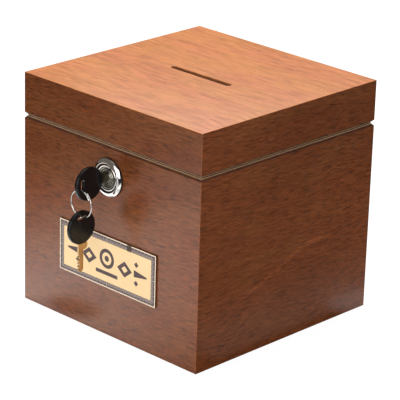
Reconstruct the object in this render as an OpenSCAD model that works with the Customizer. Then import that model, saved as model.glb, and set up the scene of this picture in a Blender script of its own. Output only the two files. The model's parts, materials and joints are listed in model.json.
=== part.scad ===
// Tip box: a cube-shaped laminated wooden box with a slotted hinged lid, a cam lock and two keys.
// Origin: centre of the underside. X to the right, Y from the front wall to the back wall, Z up.

/* [Box] */
// Width of the box, left to right
box_w = 152; // [130:1:200]
// Depth of the box, front to back, without the keys
box_d = 152; // [130:1:200]
// Height of the closed box
box_h = 150; // [140:1:200]
// Height of the lid, from the parting line to the top
lid_h = 27.5; // [26:0.5:32]
// Thickness of the wall and lid boards
board_t = 9; // [8:0.5:11]
// Thickness of the base board
base_t = 6; // [4:0.5:9]

/* [Parting groove] */
// Free height between the rims of body and lid
rim_gap = 0.4; // [0.2:0.05:0.6]
// Depth of the groove round the parting line
groove_depth = 1.5; // [1:0.1:2]
// Upright lip between the groove's bevel and the rim
groove_lip = 0.3; // [0.1:0.05:0.5]

/* [Coin slot] */
// Length of the slot in the lid
slot_l = 50; // [35:1:60]
// Width of the slot in the lid
slot_w = 4.4; // [4.2:0.1:5]

/* [Name plate] */
// Width of the plate on the front
plate_w = 84; // [60:1:100]
// Height of the plate
plate_h = 33.5; // [25:0.5:40]
// Thickness of the plate
plate_t = 0.8; // [0.5:0.1:1.5]
// Height of the plate's centre above the underside
plate_z = 48.3; // [40:0.5:60]
// Thickness of the adhesive pad behind the plate
pad_t = 0.3; // [0.2:0.05:0.5]
// Distance from the plate's edge to the pad's edge
pad_inset = 1.5; // [1:0.5:4]

/* [Lock] */
// Distance of the lock's axis below the parting line
lock_drop = 19.8; // [19:0.1:24]
// Diameter of the domed bezel
bezel_d = 24; // [23:0.5:28]
// Height of the bezel's crest above the front wall
bezel_h = 2.9; // [2.6:0.1:3.5]
// Diameter of the threaded barrel
barrel_d = 18.6; // [18:0.1:19]
// Width of the barrel across its two flats
barrel_flats = 16.4; // [16:0.1:17]
// Length of the barrel behind the bezel
barrel_l = 21; // [20:0.5:24]
// Diameter of the turning plug
plug_d = 12; // [11.8:0.1:12.2]
// Diameter of the plug's face
plug_face_d = 13.8; // [13.4:0.1:14]
// Height of the plug's face above the front wall
plug_proud = 2.2; // [1.8:0.1:2.4]
// Least wall of the nut round the barrel, at its flats
nut_wall = 2.7; // [2:0.1:4]
// Width of the washer's ring round the barrel
washer_w = 3.7; // [3:0.1:5]
// Thickness of the nut
nut_t = 4; // [3:0.5:5]
// Width of the cam's arm
cam_w = 9; // [8.5:0.1:10]
// Thickness of the cam
cam_t = 2; // [1.5:0.1:2.5]

/* [Keys] */
// Diameter of a key's head
head_d = 21; // [20:0.5:22]
// Thickness of a key's head
head_t = 2.8; // [2.6:0.1:3.4]
// Rounding of the head's rim
head_round = 1; // [0.8:0.1:1.2]
// Length of the shoulder between head and plug
shoulder_l = 3.9; // [3:0.1:5]
// Length of the blade beyond the shoulder
blade_l = 14.2; // [13.5:0.1:14.5]
// Height of the blade
blade_h = 3.8; // [3.6:0.1:4.4]
// Thickness of the blade
blade_t = 1.4; // [1.3:0.1:1.7]
// Diameter of the key ring, through the middle of its wire
ring_d = 16.86; // [16.7:0.02:18]
// Diameter of the ring's wire
wire_d = 0.9; // [0.8:0.05:1]

/* [Hinges] */
// Distance from the side of the box to the middle of the hinge
hinge_inset = 31; // [26:1:40]
// Length of a hinge
hinge_l = 25; // [20:1:30]
// Radius of a hinge knuckle
knuckle_r = 1.6; // [1.5:0.05:1.7]
// Diameter of a hinge pin
pin_d = 1.5; // [1.2:0.1:1.6]
// Thickness of a hinge leaf
leaf_t = 0.8; // [0.6:0.05:0.9]
// Width of a hinge leaf, from the pin's axis to its free edge
leaf_w = 6; // [5.8:0.1:6.4]

/* [Hidden] */
$fn = 64;

// One overrun for every cut
over = 1;
// Play between pieces that are put together and stay so
fit = 0.05;
// Radial play of a part that turns in another
turn_fit = 0.06;
// Free distance between curved parts that pass each other
pass_gap = 0.3;

// Colours
wood = [0.55, 0.31, 0.2];
wood_side = [0.42, 0.22, 0.14];
steel = [0.72, 0.72, 0.7];
dull_steel = [0.55, 0.55, 0.54];
brass = [0.72, 0.5, 0.25];
black_plastic = [0.04, 0.04, 0.04];
cream = [1, 0.86, 0.62];
tape = [0.85, 0.83, 0.78];

// Heights at the parting line
seam_z = box_h - lid_h;
body_rim_z = seam_z - rim_gap / 2;
lid_rim_z = seam_z + rim_gap / 2;
body_edge_z = body_rim_z - groove_lip - groove_depth;
lid_edge_z = lid_rim_z + groove_lip + groove_depth;

// Hinge axis: the barrel lies in the groove, flush with the back
hinge_x = box_w / 2 - hinge_inset;
hinge_y = box_d / 2 - knuckle_r;
knuckle_gap = 0.2;
knuckle_clear = 0.3;
middle_knuckle_share = 0.32;
leaf_gap = 0.1;
mortise_fit = 0.1;
hinge_screw_x_share = 0.3;
hinge_screw_y = 3.9;
hinge_screw_r = 1;
hinge_screw_head_r = 1.7;
hinge_screw_l = 7;
screw_sunk = 0.05;

// Lock: lengths along its axis are measured inwards from the front face
lock_z = seam_z - lock_drop;
bezel_tilt_out = 50;
bezel_tilt_in = 15;
bezel_crest_w = 2.4;
bezel_lip_w = 0.5;
bezel_lip_h = 2.4;
bezel_groove_w = 0.8;
bezel_groove_floor = 1.2;
bezel_steps = 6;
collar_h = 2.5;
collar_round = 0.4;
plug_flange_t = 2;
plug_dish_d = 10.6;
plug_dish_depth = 0.35;
face_play = 0.1;
lock_hole_play = 0.3;
washer_t = 1;
drive_w = 8;
stop_t = 1;
stop_core_r = 6.9;
stop_lobe_r = 8.8;
stop_nib_angle = 20;
stop_play_angle = 2;
quarter_turn = 90;
cam_hub_r = 8;
cam_screw_r = 1.9;
cam_screw_grip = 9;
cam_screw_head_r = 3.6;
cam_screw_head_t = 2.4;
cam_drive_short = 0.2;
cam_slot_w = 1;
cam_slot_depth = 1.1;

// Keyway and wafers in the plug
keyway_play = 0.1;
keyway_spare = 1;
keyway_rise = 2;
wafer_t = 0.9;
wafer_w = 4.5;
wafer_h = 11;
wafer_play = 0.1;
wafer_window_play = 0.35;
wafer_groove_depth = 1.1;

// Key: lengths along its axis are measured from the head's centre towards the tip
shoulder_h = 7;
shoulder_cut = 1.5;
blade_drop = 0.4;
tip_l = 1.8;
tip_blunt = 1;
tang_l = 9;
tang_h = 4.8;
bit_start = 3.4;
bit_flat_share = 0.35;
bit_run_share = 0.9;
bit_depth_shares = [0.14, 0.27, 0.1, 0.24, 0.17];
blade_groove_w = 0.8;
blade_groove_depth = 0.35;
blade_groove_rise = 0.6;
eye_l = 7.5;
eye_w = 2.6;
eye_offset = 5.8;
eye_chamfer = 0.35;
ring_lift = 0.46;
ring_hang = 0.3;

// Key ring: one turn and a little more of wire, its ends side by side
ring_overlap_angle = 30;
ring_overlap_at = 45;
ring_wire_gap = 0.12;
ring_steps = 65;
ring_sides = 8;

// Keeper: a bracket in the lid whose tab the cam's hook passes over
keeper_t = 1.5;
keeper_lift = 0.3;
keeper_tab_w = 4.8;
keeper_side_gap = 1.2;
keeper_clear = 0.5;
keeper_past_cam = 1.5;
keeper_flange_w = 16;
keeper_flange_h = 13;
keeper_screw_x = 5;
keeper_screw_z = 8;
keeper_screw_r = 1.1;
keeper_screw_l = 6.5;
keeper_screw_head_r = 2.2;
keeper_screw_head_t = 1.3;
hook_w = 5;
hook_past_tab = 1.3;

// Places worked out from the sizes above
plug_face_y = -box_d / 2 - plug_proud;
head_y = plug_face_y - shoulder_l - head_d / 2;
blade_foot = head_d / 2 + shoulder_l;
blade_tip = blade_foot + blade_l;
blade_low = -blade_h / 2 - blade_drop;
bit_count = len(bit_depth_shares);
bit_pitch = (blade_l - tip_l - bit_start) / (bit_count - 1 / 2);
bit_flat = bit_flat_share * bit_pitch;
bit_run = bit_run_share * bit_pitch;
wafer_start = bit_start - plug_proud - wafer_t / 2;
ring_r = ring_d / 2;
ring_y = head_y - eye_offset;
ring_z = lock_z - eye_l / 2 + ring_lift + wire_d / 2 - ring_r;
spare_z = ring_z - ring_r + wire_d / 2 + ring_hang - eye_w / 2 - eye_offset;
stop_z = barrel_l + face_play;
cam_z = stop_z + stop_t;
cam_back_z = cam_z + cam_t;
tab_x = cam_w / 2 + keeper_side_gap;
tab_low = lid_rim_z + keeper_lift - lock_z;
tab_top = tab_low + keeper_t;
hook_r = norm([tab_x + keeper_tab_w, tab_top]) + keeper_clear;
cam_r = hook_r + hook_w;
hook_angle = asin((tab_x + keeper_tab_w + hook_past_tab) / hook_r);

// A wall that faces the front, mitred at both ends. section lists [distance from the outer face, z].
module mitred_wall(run, reach, section) {
    intersection() {
        rotate([90, 0, 90])
            translate([0, 0, -run / 2])
                linear_extrude(run)
                    polygon([for (p = section) [p[0] - reach, p[1]]]);
        linear_extrude(box_h)
            polygon([
                [-run / 2, -reach], [run / 2, -reach],
                [run / 2 - board_t, board_t - reach], [board_t - run / 2, board_t - reach]
            ]);
    }
}

function body_section() = [
    [0, 0], [0, body_edge_z], [groove_depth, body_edge_z + groove_depth],
    [groove_depth, body_rim_z], [board_t, body_rim_z], [board_t, 0]
];

function lid_section() = [
    [0, lid_edge_z], [0, box_h], [board_t, box_h - board_t], [board_t, lid_rim_z],
    [groove_depth, lid_rim_z], [groove_depth, lid_rim_z + groove_lip]
];

// Lock frame: z runs inwards along the lock's axis, y points down
module at_lock() {
    translate([0, -box_d / 2, lock_z])
        rotate([-90, 0, 0])
            children();
}

module at_hinges() {
    for (side = [-1, 1])
        at_hinge(side)
            children();
}

module at_hinge(side) {
    translate([side * hinge_x, hinge_y, seam_z])
        children();
}

// The room that a hinge takes in the rims: round the knuckles, and let in for the leaves
module hinge_room() {
    room_l = hinge_l + 2 * mortise_fit;
    rotate([0, 90, 0])
        cylinder(r = knuckle_r + knuckle_clear, h = room_l, center = true);
    mortise_w = leaf_w + mortise_fit;
    translate([-room_l / 2, -mortise_w, -leaf_t - leaf_gap / 2])
        cube([room_l, mortise_w, 2 * leaf_t + leaf_gap]);
}

module at_hinge_screws(up) {
    for (side = [-1, 1])
        translate([side * hinge_l * hinge_screw_x_share, -hinge_screw_y, up * (leaf_gap / 2 + screw_sunk)])
            rotate([up > 0 ? 0 : 180, 0, 0])
                children();
}

module hinge_screw() {
    cylinder(r1 = hinge_screw_head_r, r2 = hinge_screw_r, h = leaf_t - screw_sunk);
    cylinder(r = hinge_screw_r, h = hinge_screw_l);
}

module hinge_screw_hole() {
    translate([0, 0, -over])
        cylinder(r = hinge_screw_r + fit, h = hinge_screw_l + over + fit);
    cylinder(r1 = hinge_screw_head_r + fit, r2 = hinge_screw_r + fit, h = leaf_t - screw_sunk);
    translate([0, 0, -over])
        cylinder(r = hinge_screw_head_r + fit, h = over);
}

module body_front_panel() {
    color(wood)
    difference() {
        mitred_wall(box_w, box_d / 2, body_section());
        at_lock()
            translate([0, 0, -over])
                cylinder(r = barrel_d / 2 + lock_hole_play, h = board_t + 2 * over);
    }
}

module body_back_panel() {
    color(wood)
    difference() {
        rotate([0, 0, 180])
            mitred_wall(box_w, box_d / 2, body_section());
        at_hinges() {
            hinge_room();
            at_hinge_screws(-1)
                hinge_screw_hole();
        }
    }
}

module body_left_panel() {
    color(wood_side)
    rotate([0, 0, -90])
        mitred_wall(box_d, box_w / 2, body_section());
}

module body_right_panel() {
    color(wood_side)
    rotate([0, 0, 90])
        mitred_wall(box_d, box_w / 2, body_section());
}

module base_panel() {
    color(wood)
    translate([board_t - box_w / 2, board_t - box_d / 2, 0])
        cube([box_w - 2 * board_t, box_d - 2 * board_t, base_t]);
}

// The top board: its four edges are mitred to those of the lid's walls
module top_slice(run, other) {
    rotate([90, 0, 0])
        translate([0, 0, -other / 2])
            linear_extrude(other)
                polygon([
                    [-run / 2, box_h], [run / 2, box_h],
                    [run / 2 - board_t, box_h - board_t], [board_t - run / 2, box_h - board_t]
                ]);
}

module coin_slot() {
    straight = slot_l - slot_w;
    translate([-straight / 2, -slot_w / 2, box_h - board_t - over])
        cube([straight, slot_w, board_t + 2 * over]);
    for (side = [-1, 1])
        translate([side * straight / 2, 0, box_h - board_t - over])
            cylinder(r = slot_w / 2, h = board_t + 2 * over);
}

module lid_top_panel() {
    color(wood)
    difference() {
        intersection() {
            top_slice(box_w, box_d);
            rotate([0, 0, 90])
                top_slice(box_d, box_w);
        }
        coin_slot();
    }
}

module lid_front_panel() {
    color(wood)
    difference() {
        mitred_wall(box_w, box_d / 2, lid_section());
        at_keeper_screws()
            cylinder(r = keeper_screw_r + fit, h = keeper_screw_l + fit);
    }
}

module lid_back_panel() {
    color(wood)
    difference() {
        rotate([0, 0, 180])
            mitred_wall(box_w, box_d / 2, lid_section());
        at_hinges() {
            hinge_room();
            at_hinge_screws(1)
                hinge_screw_hole();
        }
    }
}

module lid_left_panel() {
    color(wood_side)
    rotate([0, 0, -90])
        mitred_wall(box_d, box_w / 2, lid_section());
}

module lid_right_panel() {
    color(wood_side)
    rotate([0, 0, 90])
        mitred_wall(box_d, box_w / 2, lid_section());
}

// A plate on the front wall, its back at the given distance from the wall
module front_plate(w, h, t, stand_off) {
    translate([-w / 2, -box_d / 2 - stand_off - t, plate_z - h / 2])
        cube([w, t, h]);
}

module name_plate() {
    color(cream)
    front_plate(plate_w, plate_h, plate_t, pad_t);
}

module plate_adhesive_pad() {
    color(tape)
    front_plate(plate_w - 2 * pad_inset, plate_h - 2 * pad_inset, pad_t, 0);
}

// Bezel: a shallow dome with an upright edge. Inside a groove, a collar stands round the plug's face.
module bezel() {
    crest_r = bezel_d / 2 - bezel_crest_w;
    lip_r = crest_r - bezel_lip_w;
    groove_r = lip_r - bezel_groove_w;
    bore_r = plug_face_d / 2 + turn_fit;
    dome_r = bezel_crest_w / (sin(bezel_tilt_out) - sin(bezel_tilt_in));
    dome = [
        for (i = [0:bezel_steps])
            let (a = bezel_tilt_out - (bezel_tilt_out - bezel_tilt_in) * i / bezel_steps)
            [
                crest_r + dome_r * (sin(a) - sin(bezel_tilt_in)),
                dome_r * (cos(bezel_tilt_in) - cos(a)) - bezel_h
            ]
    ];
    rotate_extrude()
        polygon(concat([[bore_r, 0], [crest_r + bezel_crest_w, 0]], dome, [
            [lip_r, -bezel_lip_h], [lip_r, -bezel_groove_floor], [groove_r, -bezel_groove_floor],
            [groove_r, collar_round - collar_h], [groove_r - collar_round, -collar_h],
            [bore_r + collar_round, -collar_h], [bore_r, collar_round - collar_h]
        ]));
}

module barrel() {
    intersection() {
        cylinder(r = barrel_d / 2, h = barrel_l);
        translate([-barrel_flats / 2, -barrel_d / 2, 0])
            cube([barrel_flats, barrel_d, barrel_l]);
    }
}

// A wedge of the plane between two angles less than 180 apart, as far as a radius r
module wedge(from, to, r, h) {
    reach = r / cos((to - from) / 4);
    linear_extrude(h)
        polygon([
            [0, 0], [reach * cos(from), reach * sin(from)],
            [reach * cos((from + to) / 2), reach * sin((from + to) / 2)],
            [reach * cos(to), reach * sin(to)]
        ]);
}

module ring_solid(r_in, r_out, h) {
    difference() {
        cylinder(r = r_out, h = h);
        translate([0, 0, -over])
            cylinder(r = r_in, h = h + 2 * over);
    }
}

module lock_housing() {
    color(steel)
    at_lock()
    difference() {
        union() {
            bezel();
            barrel();
            translate([0, 0, barrel_l])
                intersection() {
                    ring_solid(stop_core_r + pass_gap, stop_lobe_r, stop_t - face_play);
                    wedge(90 - stop_nib_angle / 2, 90 + stop_nib_angle / 2, stop_lobe_r, stop_t);
                }
        }
        translate([0, 0, -over])
            cylinder(r = plug_d / 2 + turn_fit, h = barrel_l + 2 * over);
        translate([0, 0, -bezel_h - over])
            cylinder(
                r = plug_face_d / 2 + turn_fit,
                h = bezel_h + over - plug_proud + plug_flange_t + face_play
            );
        wafer_room = wafer_w + 2 * wafer_play;
        groove_h = (bit_count - 1) * bit_pitch + wafer_t + 2 * wafer_play;
        for (turn = [0, 90])
            rotate([0, 0, turn])
                translate([-wafer_room / 2, -plug_d / 2 - wafer_groove_depth, wafer_start - wafer_play])
                    cube([wafer_room, plug_d + 2 * wafer_groove_depth, groove_h]);
    }
}

module lock_washer() {
    color(dull_steel)
    at_lock()
        translate([0, 0, board_t])
            ring_solid(barrel_d / 2 + fit, barrel_d / 2 + washer_w, washer_t);
}

module lock_nut() {
    color(dull_steel)
    at_lock()
        translate([0, 0, board_t + washer_t])
            difference() {
                cylinder(r = (barrel_d / 2 + nut_wall) * 2 / sqrt(3), h = nut_t, $fn = 6);
                translate([0, 0, -over])
                    cylinder(r = barrel_d / 2 + fit, h = nut_t + 2 * over);
            }
}

// Keyway: the blade's room and a free slot above it, from the face to a little past the tip
module keyway() {
    keyway_h = blade_h + 2 * keyway_play + keyway_rise;
    translate([
        -blade_t / 2 - keyway_play, blade_drop + blade_h / 2 + keyway_play - keyway_h, -plug_proud - over
    ])
        cube([blade_t + 2 * keyway_play, keyway_h, blade_l + keyway_spare + over]);
}

module at_wafers() {
    for (i = [0:bit_count - 1])
        translate([0, 0, wafer_start + i * bit_pitch])
            children();
}

module lock_plug() {
    screw_end = cam_back_z - cam_screw_grip - fit;
    color(steel)
    at_lock()
    difference() {
        union() {
            translate([0, 0, -plug_proud])
                cylinder(r = plug_face_d / 2, h = plug_flange_t);
            translate([0, 0, -plug_proud])
                cylinder(r = plug_d / 2, h = plug_proud + stop_z);
            translate([-drive_w / 2, -drive_w / 2, stop_z - over])
                cube([drive_w, drive_w, over + stop_t + cam_t - cam_drive_short]);
        }
        translate([0, 0, -plug_proud - over])
            ring_solid(plug_dish_d / 4, plug_dish_d / 2, plug_dish_depth + over);
        keyway();
        at_wafers()
            translate([-wafer_w / 2 - wafer_play, -plug_d / 2 - over, -wafer_play])
                cube([wafer_w + 2 * wafer_play, plug_d + 2 * over, wafer_t + 2 * wafer_play]);
        translate([0, 0, screw_end])
            cylinder(r = cam_screw_r + fit, h = cam_screw_grip + over);
    }
}

// Wafers: flat plates across the plug, each with a window that the blade passes
module lock_wafers() {
    color(brass)
    at_lock()
    at_wafers()
        difference() {
            translate([-wafer_w / 2, -wafer_h / 2, 0])
                cube([wafer_w, wafer_h, wafer_t]);
            translate([
                -blade_t / 2 - wafer_window_play, blade_drop - blade_h / 2 - wafer_window_play, -over
            ])
                cube([blade_t + 2 * wafer_window_play, blade_h + 2 * wafer_window_play, wafer_t + 2 * over]);
        }
}

// Stop washer: the nib on the barrel's end stands in its notch and lets it make a quarter turn
module stop_washer() {
    notch_from = 90 - stop_nib_angle / 2 - stop_play_angle - quarter_turn;
    notch_to = 90 + stop_nib_angle / 2 + stop_play_angle;
    color(dull_steel)
    at_lock()
    translate([0, 0, stop_z])
    difference() {
        cylinder(r = stop_lobe_r, h = stop_t);
        translate([0, 0, -over])
            intersection() {
                ring_solid(stop_core_r, stop_lobe_r + over, stop_t + 2 * over);
                wedge(notch_from, notch_to, stop_lobe_r + over, stop_t + 2 * over);
            }
        drive_hole(stop_t);
    }
}

module drive_hole(h) {
    translate([-drive_w / 2 - fit, -drive_w / 2 - fit, -over])
        cube([drive_w + 2 * fit, drive_w + 2 * fit, h + 2 * over]);
}

// Cam: an arm whose hook leads when it turns. At rest it lies to the left, unlocked.
module lock_cam() {
    color(dull_steel)
    at_lock()
    translate([0, 0, cam_z])
    rotate([0, 0, 180])
    difference() {
        union() {
            cylinder(r = cam_hub_r, h = cam_t);
            intersection() {
                cylinder(r = cam_r, h = cam_t);
                translate([0, -cam_w / 2, 0])
                    cube([cam_r, cam_w, cam_t]);
            }
            intersection() {
                ring_solid(hook_r, cam_r, cam_t);
                wedge(0, hook_angle, cam_r + over, cam_t);
            }
        }
        drive_hole(cam_t);
    }
}

module cam_screw() {
    color(dull_steel)
    at_lock()
    difference() {
        union() {
            translate([0, 0, cam_back_z])
                cylinder(r = cam_screw_head_r, h = cam_screw_head_t);
            translate([0, 0, cam_back_z - cam_screw_grip])
                cylinder(r = cam_screw_r, h = cam_screw_grip + fit);
        }
        for (turn = [0, 90])
            rotate([0, 0, turn])
                translate([
                    -cam_screw_head_r / 2, -cam_slot_w / 2, cam_back_z + cam_screw_head_t - cam_slot_depth
                ])
                    cube([cam_screw_head_r, cam_slot_w, cam_slot_depth + over]);
    }
}

keeper_y = board_t - box_d / 2;
keeper_mid_x = tab_x + keeper_tab_w / 2;

// The screws go outwards, from the bracket into the lid's front wall
module at_keeper_screws() {
    for (side = [-1, 1])
        translate([keeper_mid_x + side * keeper_screw_x, keeper_y + keeper_t, lid_rim_z + keeper_screw_z])
            rotate([90, 0, 0])
                children();
}

module keeper_bracket() {
    color(dull_steel)
    difference() {
        union() {
            translate([keeper_mid_x - keeper_flange_w / 2, keeper_y, lid_rim_z + keeper_lift])
                cube([keeper_flange_w, keeper_t, keeper_flange_h]);
            translate([tab_x, keeper_y, lid_rim_z + keeper_lift])
                cube([keeper_tab_w, cam_back_z - board_t + keeper_past_cam, keeper_t]);
        }
        at_keeper_screws()
            translate([0, 0, -over])
                cylinder(r = keeper_screw_r + fit, h = keeper_t + 2 * over);
    }
}

module keeper_screws() {
    color(dull_steel)
    at_keeper_screws() {
        cylinder(r = keeper_screw_r, h = keeper_screw_l);
        translate([0, 0, -keeper_screw_head_t])
            cylinder(r = keeper_screw_head_r, h = keeper_screw_head_t);
    }
}

// One leaf of a hinge. up is 1 for the lid's leaf and -1 for the body's.
module hinge_leaf(up) {
    middle_l = hinge_l * middle_knuckle_share;
    own_middle = up > 0;
    difference() {
        union() {
            translate([-hinge_l / 2, -leaf_w, up > 0 ? leaf_gap / 2 : -leaf_gap / 2 - leaf_t])
                cube([hinge_l, leaf_w, leaf_t]);
            rotate([0, 90, 0])
                cylinder(r = knuckle_r, h = hinge_l, center = true);
        }
        if (own_middle)
            for (side = [-1, 1])
                translate([side * (middle_l + hinge_l + over) / 2, 0, 0])
                    knuckle_cut(hinge_l + over);
        else
            knuckle_cut(middle_l + 2 * knuckle_gap);
        rotate([0, 90, 0])
            cylinder(r = pin_d / 2 + fit, h = hinge_l + 2 * over, center = true);
        at_hinge_screws(up)
            hinge_screw_hole();
    }
}

// Takes away a leaf's knuckle and the leaf beside it, over a length
module knuckle_cut(l) {
    reach = knuckle_r + knuckle_clear;
    translate([-l / 2, -reach, -reach])
        cube([l, 2 * reach, 2 * reach]);
}

module hinge_body_leaf_left() {
    color(brass)
    at_hinge(-1)
        hinge_leaf(-1);
}

module hinge_body_leaf_right() {
    color(brass)
    at_hinge(1)
        hinge_leaf(-1);
}

module hinge_lid_leaf_left() {
    color(brass)
    at_hinge(-1)
        hinge_leaf(1);
}

module hinge_lid_leaf_right() {
    color(brass)
    at_hinge(1)
        hinge_leaf(1);
}

module hinge_pin() {
    rotate([0, 90, 0])
        cylinder(r = pin_d / 2, h = hinge_l, center = true);
}

module hinge_pin_left() {
    color(dull_steel)
    at_hinge(-1)
        hinge_pin();
}

module hinge_pin_right() {
    color(dull_steel)
    at_hinge(1)
        hinge_pin();
}

module hinge_body_screws() {
    color(brass)
    at_hinges()
        at_hinge_screws(-1)
            hinge_screw();
}

module hinge_lid_screws() {
    color(brass)
    at_hinges()
        at_hinge_screws(1)
            hinge_screw();
}

// Key frame: y runs from the head's centre to the tip, z along the blade's height
module at_key() {
    translate([0, head_y, lock_z])
        children();
}

module at_spare_key() {
    translate([0, ring_y, spare_z])
        rotate([-90, 0, 0])
            children();
}

// The eye for the ring: a slot with round ends and bevelled rims, across the key's axis
module eye() {
    half = eye_w / 2;
    face = head_t / 2;
    flare = eye_chamfer + over;
    side = [
        [half + flare, -face - over], [half, eye_chamfer - face],
        [half, face - eye_chamfer], [half + flare, face + over]
    ];
    straight = eye_l - eye_w;
    translate([0, -eye_offset, 0]) {
        for (end = [-1, 1])
            translate([0, 0, end * straight / 2])
                rotate([0, 90, 0])
                    rotate_extrude()
                        polygon(concat([[0, -face - over]], side, [[0, face + over]]));
        translate([0, 0, -straight / 2])
            linear_extrude(straight)
                polygon(concat(
                    [for (p = side) [p[1], p[0]]],
                    [for (i = [len(side) - 1:-1:0]) [side[i][1], -side[i][0]]]
                ));
    }
}

module head() {
    face = head_t / 2;
    core_r = head_d / 2 - head_round;
    difference() {
        rotate([0, 90, 0])
            rotate_extrude() {
                translate([0, -face])
                    square([core_r, head_t]);
                translate([0, head_round - face])
                    square([head_d / 2, head_t - 2 * head_round]);
                for (side = [-1, 1])
                    translate([core_r, side * (face - head_round)])
                        circle(r = head_round);
            }
        eye();
        translate([-blade_t / 2 - fit, head_d / 2 - tang_l - fit, blade_low + (blade_h - tang_h) / 2 - fit])
            cube([blade_t + 2 * fit, tang_l + over, tang_h + 2 * fit]);
    }
}

// Outline of the blade in its own plane, [y, z]
function bit_points(i) =
    let (
        mid = blade_foot + bit_start + i * bit_pitch,
        top = blade_low + blade_h * bit_depth_shares[i]
    )
    [
        [mid - bit_run / 2, blade_low], [mid - bit_flat / 2, top],
        [mid + bit_flat / 2, top], [mid + bit_run / 2, blade_low]
    ];

module blade() {
    blade_mid = blade_low + blade_h / 2;
    rim = head_d / 2;
    outline = concat(
        [[rim - tang_l, blade_mid - tang_h / 2], [rim, blade_mid - tang_h / 2], [rim, blade_low]],
        [for (i = [0:bit_count - 1]) each bit_points(i)],
        [
            [blade_tip - tip_l, blade_low], [blade_tip, blade_mid - tip_blunt / 2],
            [blade_tip, blade_mid + tip_blunt / 2], [blade_tip - tip_l, blade_low + blade_h],
            [blade_foot, blade_low + blade_h], [blade_foot, blade_low + shoulder_h - shoulder_cut],
            [blade_foot - shoulder_cut, blade_low + shoulder_h], [rim, blade_low + shoulder_h],
            [rim, blade_mid + tang_h / 2],
            [rim - tang_l, blade_mid + tang_h / 2]
        ]
    );
    difference() {
        rotate([90, 0, 90])
            translate([0, 0, -blade_t / 2])
                linear_extrude(blade_t)
                    polygon(outline);
        groove_low = blade_mid + blade_groove_rise - blade_groove_w / 2;
        translate([blade_t / 2 - blade_groove_depth, blade_foot, groove_low])
            cube([blade_groove_depth + over, blade_l + over, blade_groove_w]);
    }
}

module key_head() {
    color(black_plastic)
    at_key()
        head();
}

module key_blade() {
    color(brass)
    at_key()
        blade();
}

module spare_key_head() {
    color(black_plastic)
    at_spare_key()
        head();
}

module spare_key_blade() {
    color(brass)
    at_spare_key()
        blade();
}

// The ring's wire runs once round and a little more, moving sideways by its own width
function ring_point(s, side) =
    let (
        a = ring_overlap_at - ring_overlap_angle / 2 + s * (360 + ring_overlap_angle),
        b = 360 * side / ring_sides,
        reach = ring_r + cos(b) * wire_d / 2,
        shift = (s - 1 / 2) * (wire_d + ring_wire_gap) * (360 + ring_overlap_angle) / 360
    )
    [reach * cos(a), shift + sin(b) * wire_d / 2, reach * sin(a)];

module key_ring() {
    points = [
        for (i = [0:ring_steps])
            for (j = [0:ring_sides - 1])
                ring_point(i / ring_steps, j)
    ];
    function at(i, j) = i * ring_sides + j % ring_sides;
    skin = [
        for (i = [0:ring_steps - 1])
            for (j = [0:ring_sides - 1])
                each [
                    [at(i, j), at(i, j + 1), at(i + 1, j)],
                    [at(i, j + 1), at(i + 1, j + 1), at(i + 1, j)]
                ]
    ];
    caps = [
        for (j = [1:ring_sides - 2])
            each [
                [at(0, 0), at(0, j + 1), at(0, j)],
                [at(ring_steps, 0), at(ring_steps, j), at(ring_steps, j + 1)]
            ]
    ];
    color(steel)
    translate([0, ring_y, ring_z])
        polyhedron(points = points, faces = concat(skin, caps));
}

body_front_panel();
body_back_panel();
body_left_panel();
body_right_panel();
base_panel();
lid_top_panel();
lid_front_panel();
lid_back_panel();
lid_left_panel();
lid_right_panel();
name_plate();
plate_adhesive_pad();
lock_housing();
lock_washer();
lock_nut();
lock_plug();
lock_wafers();
stop_washer();
lock_cam();
cam_screw();
keeper_bracket();
keeper_screws();
hinge_body_leaf_left();
hinge_body_leaf_right();
hinge_lid_leaf_left();
hinge_lid_leaf_right();
hinge_pin_left();
hinge_pin_right();
hinge_body_screws();
hinge_lid_screws();
key_head();
key_blade();
key_ring();
spare_key_head();
spare_key_blade();
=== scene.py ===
"""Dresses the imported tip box: its pieces, their finishes, the studio and the camera."""
import json
import math
from contextlib import contextmanager

import bmesh
import bpy
from bpy.props import FloatProperty, FloatVectorProperty, IntProperty, PointerProperty
from mathutils import Matrix, Quaternion, Vector

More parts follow.
